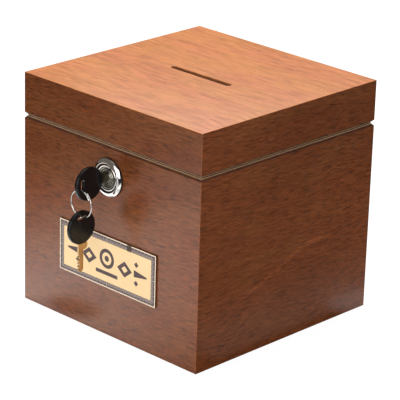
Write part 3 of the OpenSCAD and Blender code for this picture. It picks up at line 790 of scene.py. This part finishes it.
def plug_nickel():
    """Nickel of the plug, with the turning marks of its face and grey wear in them."""
    looks = bpy.context.scene.tip_box.lock
    material, nodes, x, y, z = new_material("plug_nickel")
    up = z - LOCK_AT.z / MM
    radius = distance(x, up)
    marks = nodes.noise(radius * 7, 0, 0, 2)
    wear = nodes.noise(x * 1.2, up * 1.2, 5, 3)

    # Painted shade darkens the plug between the ridges, which lie lower than the face, and at the face's
    # edge
    low = (BOX_LOW.y / MM - y).rise(1.80, 1.60).most(radius.rise(6.5, 6.75))
    metal = nodes.blend(wear.rise(0.4, 0.7), looks.nickel, (0.36, 0.33, 0.27))
    base = nodes.shade(metal, (0.72 + 0.5 * marks) * (1 - 0.85 * low))
    nodes.metal(base, 0.26 + 0.16 * wear + 0.1 * (marks - 0.5), nodes.bump(marks, 0.02 * MM))
    return material


def key_plastic():
    """Glossy black plastic with a faint moulded texture and handling marks."""
    looks = bpy.context.scene.tip_box.keys
    material, nodes, x, y, z = new_material("key_plastic")
    grain = nodes.noise(x * 2.2, y * 2.2, z * 2.2, 2)
    marks = nodes.noise(x * 0.4, y * 0.4, z * 0.4, 2)
    base = nodes.shade(looks.plastic, 0.8 + 0.8 * marks)
    nodes.surface(
        Base_Color=base,
        Roughness=0.15 + 0.08 * marks + 0.04 * grain,
        Specular_IOR_Level=0.3,
        Normal=nodes.bump(grain, 0.006 * MM)
    )
    return material


# Operators

class TIPBOX_OT_boards(bpy.types.Operator):
    """Make the boards of body and lid and the base, with eased edges and printed wood"""

    bl_idname = "tipbox.boards"
    bl_label = "Boards"

    # The groove's edges are nearer than this to the parting line, and no other point of a board is
    groove_reach = 4 * MM

    def envelope(self, looks):
        """The closed box as one block, with its edges eased."""
        tool = block(BOX_LOW, BOX_HIGH)
        with editing(tool):
            pick(tool, "EDGE", both_ends(lambda point: near(point.z, BOX_LOW.z)))
            bpy.ops.mesh.bevel(offset=looks.foot_round, segments=2, affect="EDGES")
            pick(tool, "EDGE", lambda edge: self.is_corner(edge) or both_ends(self.on_top)(edge))
            bpy.ops.mesh.bevel(offset=looks.edge_round, segments=4, affect="EDGES")
        return tool

    def on_top(self, point):
        return near(point.z, BOX_HIGH.z)

    def on_slot_rim(self, point):
        """Whether a point is on the top, and nearer to its middle than to an edge."""
        return self.on_top(point) and max(abs(point.x), abs(point.y)) < BOX_HIGH.x / 2

    def is_corner(self, edge):
        """Whether an edge is one of the four upright corners."""
        first, second = (point.co for point in edge.verts)
        return abs(first.z - second.z) > BOX_HIGH.z / 2

    def on_groove_edge(self, point, level):
        """Whether a point is on an outer face, at the height of the groove's edge."""
        outside = near(abs(point.x), BOX_HIGH.x) or near(abs(point.y), BOX_HIGH.y)
        return outside and near(point.z, level)

    def ease_groove(self, piece, node, looks):
        """Eases the outer edge of the groove on a wall."""
        heights = [round(point.co.z, 6) for point in piece.data.vertices]
        levels = [height for height in heights if abs(height - SEAM_Z) < self.groove_reach]
        level = max(levels) if node.startswith("lid") else min(levels)
        with editing(piece):
            pick(piece, "EDGE", both_ends(lambda point: self.on_groove_edge(point, level)))
            bpy.ops.mesh.bevel(offset=looks.groove_round, segments=2, affect="EDGES")

    def ease_slot(self, piece, looks):
        """Eases the rim of the coin slot."""
        with editing(piece):
            pick(piece, "EDGE", both_ends(self.on_slot_rim))
            bpy.ops.mesh.bevel(offset=looks.slot_round, segments=3, affect="EDGES")

    def execute(self, context):
        looks = context.scene.tip_box.boards
        material = laminate()
        for node in [name for name in NODES if SLOTS[name] == "wood_laminate"]:
            piece = copy_of(node)
            if node != "lid_top_panel":
                self.ease_groove(piece, node, looks)
            carve(piece, self.envelope(looks), "INTERSECT")
            if node == "lid_top_panel":
                self.ease_slot(piece, looks)
            smooth(piece)
            hand_over(piece, node.replace("panel", "board"), material, node)
        dress("base_panel", "base_board", base_board(), looks.foot_round)
        return {"FINISHED"}


class TIPBOX_OT_plate(bpy.types.Operator):
    """Make the name plate with its printed border and the foam tape behind it"""

    bl_idname = "tipbox.plate"
    bl_label = "Name plate"

    def execute(self, context):
        looks = context.scene.tip_box.plate
        plate = block(PLATE_LOW, PLATE_HIGH)
        break_edges(plate, looks.edge_round)
        smooth(plate)
        hand_over(plate, "bordered_plate", plate_print(), "name_plate")
        dress("plate_adhesive_pad", "plate_tape", foam_tape(), looks.edge_round)
        return {"FINISHED"}


class TIPBOX_OT_lock(bpy.types.Operator):
    """Make the lock: bezel with threaded barrel, plug, wafers, washer, nut, cam and its screw"""

    bl_idname = "tipbox.lock"
    bl_label = "Lock"

    turning_steps = 96

    # How far a cutter overruns, and how far it keeps from the bezel's underside
    overrun = 2.7 * MM
    sliver = 0.02 * MM

    # Play round the plug's face, the ledge under it and the bevel at the barrel's end
    face_play = 0.06 * MM
    ledge = 0.1 * MM
    corner = 0.3 * MM

    # The nib that stops the turn: half its width, its radii, and its reach past the barrel and into it
    nib_half = 1.4 * MM
    nib_inner, nib_outer = 7.25 * MM, 8.7 * MM
    nib_past, nib_in = 0.9 * MM, 0.5 * MM

    # The cutter of the plug's face: its radii, and the heights of its top and of the ridges
    cut_inner, cut_outer = 2.65 * MM, 6.3 * MM
    cut_top, ridge_top = 2.5 * MM, 1.85 * MM

    def arc(self, centre, radius, start, end, steps):
        """Points on an arc. An angle is that between the arc's normal and the lock's axis, in degrees."""
        points = []
        for i in range(steps + 1):
            lean = math.radians(start + (end - start) * i / steps)
            points.append((centre[0] + radius * math.sin(lean), centre[1] + radius * math.cos(lean)))
        return points

    def thread(self, barrel_r, start, end, looks):
        """The zigzag of the barrel's thread, between two heights."""
        points = []
        while start < end:
            points.append((barrel_r, start))
            points.append((barrel_r - looks.thread_depth, start + looks.thread_pitch / 2))
            start += looks.thread_pitch
        return points

    def bezel_outline(self, looks):
        """Half the section of bezel and barrel, outwards along the lock's axis from the wall's face."""
        low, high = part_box("lock_housing")
        plug_low, plug_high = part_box("lock_plug")
        rim_r = (high.x - low.x) / 2
        crest_h = BOX_LOW.y - low.y
        face_r = (plug_high.x - plug_low.x) / 2 + self.face_play
        bore_r, barrel_r, barrel_end = looks.bore, looks.barrel, -looks.barrel_length
        ledge, corner = self.ledge, self.corner

        # The dome is an arc from its steep rim to its crest, and a small round leads into the groove
        steep, flat = 50, 15
        crest_r = rim_r - looks.crest
        dome_r = looks.crest / (math.sin(math.radians(steep)) - math.sin(math.radians(flat)))
        crest = Vector((math.sin(math.radians(flat)), math.cos(math.radians(flat))))
        dome = self.arc(Vector((crest_r, crest_h)) - dome_r * crest, dome_r, steep, flat, 10)
        lip = self.arc(Vector((crest_r, crest_h)) - looks.lip * crest, looks.lip, flat, -80, 6)[1:]

        collar_r = face_r + looks.collar
        collar_h = looks.collar_height
        bead = looks.collar_round
        collar_out = self.arc((collar_r - bead, collar_h - bead), bead, 90, 0, 4)
        collar_in = self.arc((face_r + bead, collar_h - bead), bead, 0, -90, 4)
        return [
            (face_r, ledge), (bore_r, ledge), (bore_r, barrel_end), (barrel_r - corner, barrel_end),
            (barrel_r, barrel_end + corner),
            *self.thread(barrel_r, barrel_end + looks.thread_pitch, -1.5 * looks.thread_pitch, looks),
            (barrel_r, -1.2 * looks.thread_pitch), (barrel_r, 0), (rim_r, 0), *dome, *lip,
            (lip[-1][0], looks.groove_floor), (collar_r, looks.groove_floor), *collar_out, *collar_in
        ]

    def housing(self, looks):
        """Bezel and barrel in one, with flats along the barrel and the stop's nib at its end."""
        piece = turned(self.bezel_outline(looks), self.turning_steps)
        end = -looks.barrel_length
        reach = looks.barrel + self.overrun
        for side in (-1, 1):
            inner, outer = sorted((side * looks.flats, side * reach))
            carve(piece, block((inner, -reach, end - self.overrun), (outer, reach, -self.sliver)))
        nib_low = (-self.nib_half, -self.nib_outer, end - self.nib_past)
        nib_high = (self.nib_half, -self.nib_inner, end + self.nib_in)
        carve(piece, block(nib_low, nib_high), "UNION")
        stand_at_lock(piece)
        return piece

    def ridges(self, looks):
        """The cutter of the plug's face: a ring with a ridged underside."""
        inner, outer, top, floor = self.cut_inner, self.cut_outer, self.cut_top, self.ridge_top
        outline = [(inner, top), (inner, floor)]
        for i in range(int((outer - inner) / looks.ridge)):
            start = inner + looks.ridge * i
            outline.append((start + looks.ridge * 0.35, floor - looks.ridge_depth))
            outline.append((start + looks.ridge * 0.65, floor - looks.ridge_depth))
            outline.append((start + looks.ridge, floor))
        outline += [(outer, floor), (outer, top)]
        tool = turned(outline, self.turning_steps)
        stand_at_lock(tool)
        return tool

    def execute(self, context):
        looks = context.scene.tip_box.lock
        chrome = bezel_chrome()
        zinc = plated("zinc_steel", looks.zinc, 0.34, 0.12, 0.16)
        brass = plated("hinge_brass", looks.brass, 0.28, 0.14, 0.14)

        housing = self.housing(looks)
        smooth(housing)
        hand_over(housing, "lock_bezel_and_barrel", chrome, "lock_housing")

        plug = copy_of("lock_plug")
        carve(plug, self.ridges(looks))
        smooth(plug)
        hand_over(plug, "turning_plug", plug_nickel(), "lock_plug")

        stamped = {
            "lock_washer": ("barrel_washer", zinc),
            "lock_nut": ("barrel_nut", zinc),
            "lock_wafers": ("plug_wafers", brass),
            "stop_washer": ("quarter_turn_stop", zinc),
            "lock_cam": ("hooked_cam", zinc),
            "cam_screw": ("cam_fixing_screw", zinc),
        }
        for node, (name, material) in stamped.items():
            dress(node, name, material, looks.bevel)
        return {"FINISHED"}


class TIPBOX_OT_keeper(bpy.types.Operator):
    """Make the keeper bracket in the lid and its screws"""

    bl_idname = "tipbox.keeper"
    bl_label = "Keeper"

    def execute(self, context):
        looks = context.scene.tip_box.lock
        zinc = bpy.data.materials["zinc_steel"]
        dress("keeper_bracket", "keeper_angle", zinc, looks.bevel)
        dress("keeper_screws", "keeper_fixing_screws", zinc, looks.bevel)
        return {"FINISHED"}


class TIPBOX_OT_hinges(bpy.types.Operator):
    """Make the two hinges at the back, with their pins and screws"""

    bl_idname = "tipbox.hinges"
    bl_label = "Hinges"

    def execute(self, context):
        looks = context.scene.tip_box.lock
        for node in [name for name in NODES if name.startswith("hinge_")]:
            metal = {"brass": "hinge_brass", "zinc_steel": "zinc_steel"}[SLOTS[node]]
            dress(node, node.replace("hinge", "butt_hinge"), bpy.data.materials[metal], looks.bevel)
        return {"FINISHED"}


class TIPBOX_OT_keys(bpy.types.Operator):
    """Make the key in the lock and the spare key: plastic heads and cut blades"""

    bl_idname = "tipbox.keys"
    bl_label = "Keys"

    def execute(self, context):
        looks = context.scene.tip_box.keys
        plastic = key_plastic()
        # The blade in the lock gets the darker copy of the brass, with its shade painted in
        shaded_blade = plated("key_brass_shaded", looks.shaded_blade, 0.34, 0.16, 0.16)
        bright = plated("key_brass", looks.blade, 0.36, 0.16, 0.16)
        for prefix, blade_brass in (("", shaded_blade), ("spare_", bright)):
            head = copy_of(prefix + "key_head", merge_flats=False)
            smooth(head)
            hand_over(head, prefix + "head_moulding", plastic, prefix + "key_head")
            dress(prefix + "key_blade", prefix + "cut_blade", blade_brass, looks.bevel)
        return {"FINISHED"}


class TIPBOX_OT_ring(bpy.types.Operator):
    """Make the key ring: one turn of wire and a little more, its ends side by side"""

    bl_idname = "tipbox.ring"
    bl_label = "Key ring"

    # The wire's radius, the gap between its ends, how far it runs round and where it starts
    wire_r = 0.45 * MM
    wire_gap = 0.12 * MM
    turn = math.radians(390)
    start = math.radians(30)

    def execute(self, context):
        looks = context.scene.tip_box.keys
        centre = (RING_LOW + RING_HIGH) / 2
        reach = (RING_HIGH.z - RING_LOW.z) / 2 - self.wire_r
        climb = (2 * self.wire_r + self.wire_gap) * self.turn / math.tau
        bpy.ops.mesh.primitive_circle_add(
            vertices=looks.wire_sides, radius=self.wire_r, location=(reach, 0, climb / 2),
            rotation=(math.radians(90), 0, 0)
        )
        ring = bpy.context.object
        apply_place(ring)
        modify(
            ring, "SCREW", axis="Z", angle=self.turn, screw_offset=-climb, steps=looks.ring_steps,
            render_steps=looks.ring_steps, use_merge_vertices=False
        )
        with editing(ring):
            select_all()
            bpy.ops.mesh.fill_holes(sides=looks.wire_sides)
            select_all()
            bpy.ops.mesh.normals_make_consistent(inside=False)
        ring.matrix_world = (
            Matrix.Translation((0, centre.y, centre.z))
            @ Matrix.Rotation(math.radians(90), 4, "X")
            @ Matrix.Rotation(self.start, 4, "Z")
        )
        apply_place(ring)
        smooth(ring)
        hand_over(ring, "wire_ring", plated("ring_wire", looks.wire, 0.10, 0.05, 0.06), "key_ring")
        return {"FINISHED"}


class TIPBOX_OT_studio(bpy.types.Operator):
    """Set up the floor, the soft light and the camera of the photograph"""

    bl_idname = "tipbox.studio"
    bl_label = "Studio"

    # The floor's side, and how far it lies under the box, in metres
    floor_size = 6
    floor_drop = 0.1 * MM

    def softbox(self, name, place, target, size, watts, seen_in_gloss=True):
        """An area light at a place, turned to a target."""
        away = Vector(place) - Vector(target)
        bpy.ops.object.light_add(
            type="AREA", location=place, rotation=away.to_track_quat("Z", "Y").to_euler()
        )
        lamp = bpy.context.object
        lamp.name = name
        lamp.data.shape = "RECTANGLE"
        lamp.data.size, lamp.data.size_y = size
        lamp.data.energy = watts
        lamp.visible_camera = False
        lamp.visible_glossy = seen_in_gloss
        return lamp

    def floor(self):
        """A pale floor, which the camera sees white but for the box's shadow."""
        bpy.ops.mesh.primitive_plane_add(size=self.floor_size, location=(0, 0, -self.floor_drop))
        floor = bpy.context.object
        floor.name = "studio_floor"
        apply_place(floor)
        material, nodes, x, y, z = new_material("studio_floor")
        camera_ray, glossy_ray = nodes.rays()

        # For gloss the floor glows with a painted pool of light in front, a painted contact shadow in it,
        # and three lesser painted glows
        pool = x.rise(-265, -75) * x.rise(130, -50) * (0.5 + 0.5 * y.rise(-260, -80)) * y.rise(-74, -80)
        contact_shadow = distance(x, y, (-44, -90), (22, 13)).rise(1.3, 0.5)
        pool = pool * (1 - 0.75 * contact_shadow) * (1 + 0.25 * x.rise(-60, -85) - 0.1 * x.rise(-40, 0))
        front_right = (x - 0.96 * y).rise(165, 215) * y.rise(-70, -100) * y.rise(-290, -190)
        beside = x.rise(78, 88) * x.rise(150, 100) * y.rise(-60, -45)
        corner = distance(x, y, (86, 80), (16, 30)).rise(1.2, 0.4)
        mirrored = (0.02 + 1.80 * pool).most(1.3 * front_right).most(0.8 * corner).most(0.25 * beside)

        # The camera sees it nearly white, and only faintly shaded by the box
        seen = nodes.node("ShaderNodeAddShader", inputs={0: nodes.paper(0.12), 1: nodes.glow(0.93)})[0]
        shader = nodes.mix(camera_ray, nodes.paper(0.58), seen)
        shader = nodes.mix(glossy_ray, shader, nodes.glow(mirrored))
        nodes.node("ShaderNodeOutputMaterial", inputs={"Surface": shader})
        floor.data.materials.append(material)

    def world(self, looks):
        """White behind the box, even light from all sides, and a dark studio in reflections."""
        world = bpy.data.worlds.new("studio_air")
        bpy.context.scene.world = world
        world.use_nodes = True
        nodes = Nodes(world.node_tree)
        camera_ray, glossy_ray = nodes.rays()
        direction = nodes.node("ShaderNodeTexCoord")["Generated"]
        height = Number(nodes, nodes.node("ShaderNodeSeparateXYZ", inputs={0: direction})[2])
        mirrored = 0.13 + 1.5 * height.rise(0.75, 0.95)
        level = looks.sky * (1 - glossy_ray) + mirrored * glossy_ray
        level = level * (1 - camera_ray) + camera_ray
        shader = nodes.node("ShaderNodeBackground", inputs={"Color": WHITE, "Strength": level})[0]
        nodes.node("ShaderNodeOutputWorld", inputs={"Surface": shader})

    def camera(self, looks):
        """The camera at the photograph's place and angle."""
        bpy.ops.object.camera_add(location=looks.camera_at)
        camera = bpy.context.object
        camera.name = "photo_camera"
        flat = math.cos(looks.elevation)
        back = Vector((
            math.sin(looks.azimuth) * flat, -math.cos(looks.azimuth) * flat, math.sin(looks.elevation)
        ))
        camera.rotation_mode = "QUATERNION"
        camera.rotation_quaternion = (-back).to_track_quat("-Z", "Y") @ Quaternion((0, 0, 1), looks.roll)
        camera.data.lens = looks.lens
        bpy.context.scene.camera = camera

    def execute(self, context):
        looks = context.scene.tip_box.studio
        middle = (0, 0, BOX_HIGH.z / 2)
        foot = (0, 0, 0.02)
        corner = (0.062, -0.062, BOX_HIGH.z)

        # Each light's name, place, target, size, power and whether gloss shows it, in metres and watts
        self.softbox("overhead_softbox", (-0.42, 0.38, 1.12), middle, (1.0, 1.0), looks.key_power, False)
        self.softbox("front_fill", (0.35, -1.2, 0.45), middle, (0.9, 0.9), looks.fill_power)
        self.softbox("low_fill", (0.0, -0.30, 0.02), foot, (0.34, 0.05), looks.low_power, False)
        self.softbox("right_fill", (1.2, -0.3, 0.12), middle, (0.9, 0.9), looks.right_power, False)
        card = self.softbox("back_card", (-0.154, 0.191, 0.302), corner, (0.24, 0.08), looks.card_power)
        card.visible_diffuse = False
        self.floor()
        self.world(looks)
        self.camera(looks)
        context.scene.view_settings.view_transform = "Standard"
        return {"FINISHED"}


class TIPBOX_PT_sidebar(bpy.types.Panel):
    """The operators in the order in which they run, and what can be changed"""

    bl_idname = "TIPBOX_PT_sidebar"
    bl_label = "Tip Box"
    bl_space_type = "VIEW_3D"
    bl_region_type = "UI"
    bl_category = "Tip Box"

    def draw(self, context):
        looks = context.scene.tip_box
        for operator in OPERATORS:
            self.layout.operator(operator.bl_idname)
        for group in (looks.boards, looks.plate, looks.lock, looks.keys, looks.studio):
            box = self.layout.box()
            for name in group.__annotations__:
                box.prop(group, name)


OPERATORS = (
    TIPBOX_OT_boards,
    TIPBOX_OT_plate,
    TIPBOX_OT_lock,
    TIPBOX_OT_keeper,
    TIPBOX_OT_hinges,
    TIPBOX_OT_keys,
    TIPBOX_OT_ring,
    TIPBOX_OT_studio,
)
GROUPS = (BoardLooks, PlateLooks, LockLooks, KeyLooks, StudioLooks, TipBoxLooks)
CLASSES = (*GROUPS, *OPERATORS, TIPBOX_PT_sidebar)


def register():
    for cls in CLASSES:
        bpy.utils.register_class(cls)
    bpy.types.Scene.tip_box = PointerProperty(type=TipBoxLooks)


def unregister():
    del bpy.types.Scene.tip_box
    for cls in reversed(CLASSES):
        bpy.utils.unregister_class(cls)


def main():
    """Builds everything."""
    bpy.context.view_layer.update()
    register()
    make = bpy.ops.tipbox
    for step in (
        make.boards, make.plate, make.lock, make.keeper, make.hinges, make.keys, make.ring, make.studio
    ):
        step()
    bpy.context.view_layer.update()


if __name__ == "__main__":
    main()
